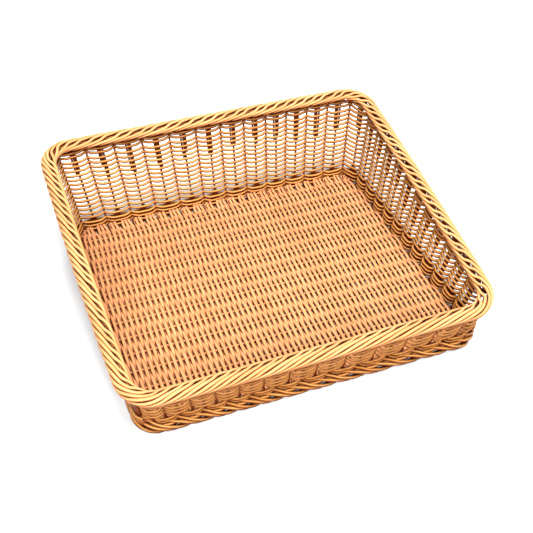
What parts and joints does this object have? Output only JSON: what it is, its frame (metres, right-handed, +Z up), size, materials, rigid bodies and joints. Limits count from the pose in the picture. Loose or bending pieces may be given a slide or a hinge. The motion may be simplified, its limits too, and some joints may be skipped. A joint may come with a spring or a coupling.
{
  "type": "poly rattan display basket",
  "caption": "Rectangular poly rattan basket with a low front, a high back, open woven walls and a thick rolled border.",
  "frame": {"origin": "centre of the basket's outline in plan, at the surface it stands on", "axes": "+X along the long side to the right as seen from the low front, +Y to the high back, +Z up"},
  "size_m": [0.4, 0.352, 0.1186],
  "materials": {
    "floor_rattan": "satin",
    "stake_rattan": "satin",
    "wall_rattan": "satin",
    "border_rattan": "satin"
  },
  "bodies": {
    "root": {"floor_weave_lower": "floor_rattan", "floor_weave_upper": "floor_rattan", "floor_cross_stake_01": "floor_rattan", "floor_cross_stake_02": "floor_rattan", "floor_cross_stake_03": "floor_rattan", "floor_cross_stake_04": "floor_rattan", "floor_cross_stake_05": "floor_rattan", "floor_cross_stake_06": "floor_rattan", "floor_cross_stake_07": "floor_rattan", "floor_cross_stake_08": "floor_rattan", "floor_cross_stake_09": "floor_rattan", "floor_cross_stake_10": "floor_rattan", "floor_cross_stake_11": "floor_rattan", "floor_cross_stake_12": "floor_rattan", "floor_cross_stake_13": "floor_rattan", "floor_cross_stake_14": "floor_rattan", "floor_cross_stake_15": "floor_rattan", "floor_cross_stake_16": "floor_rattan", "floor_cross_stake_17": "floor_rattan", "floor_cross_stake_18": "floor_rattan", "floor_cross_stake_19": "floor_rattan", "floor_cross_stake_20": "floor_rattan", "floor_cross_stake_21": "floor_rattan", "floor_cross_stake_22": "floor_rattan", "floor_cross_stake_23": "floor_rattan", "floor_cross_stake_24": "floor_rattan", "floor_cross_stake_25": "floor_rattan", "stakes_and_foot_front": "stake_rattan", "stakes_and_foot_right": "stake_rattan", "stakes_and_foot_back": "stake_rattan", "stakes_and_foot_left": "stake_rattan", "weave_row_01": "wall_rattan", "weave_row_02": "wall_rattan", "weave_row_03": "wall_rattan", "weave_row_04": "wall_rattan", "weave_row_05": "wall_rattan", "weave_row_06": "wall_rattan", "weave_row_07": "wall_rattan", "weave_row_08": "wall_rattan", "weave_row_09": "wall_rattan", "weave_row_10": "wall_rattan", "weave_row_11": "wall_rattan", "weave_row_12": "wall_rattan", "weave_row_13": "wall_rattan", "weave_row_14": "wall_rattan", "floor_wale_1": "wall_rattan", "floor_wale_2": "wall_rattan", "floor_wale_3": "wall_rattan", "rim_wale_1": "wall_rattan", "rim_wale_2": "wall_rattan", "rim_border_strand_1": "border_rattan", "rim_border_strand_2": "border_rattan", "rim_border_strand_3": "border_rattan", "rim_border_strand_4": "border_rattan", "rim_border_strand_5": "border_rattan", "rim_border_strand_6": "border_rattan", "rim_border_strand_7": "border_rattan", "rim_border_strand_8": "border_rattan"}
  },
  "joints": []
}
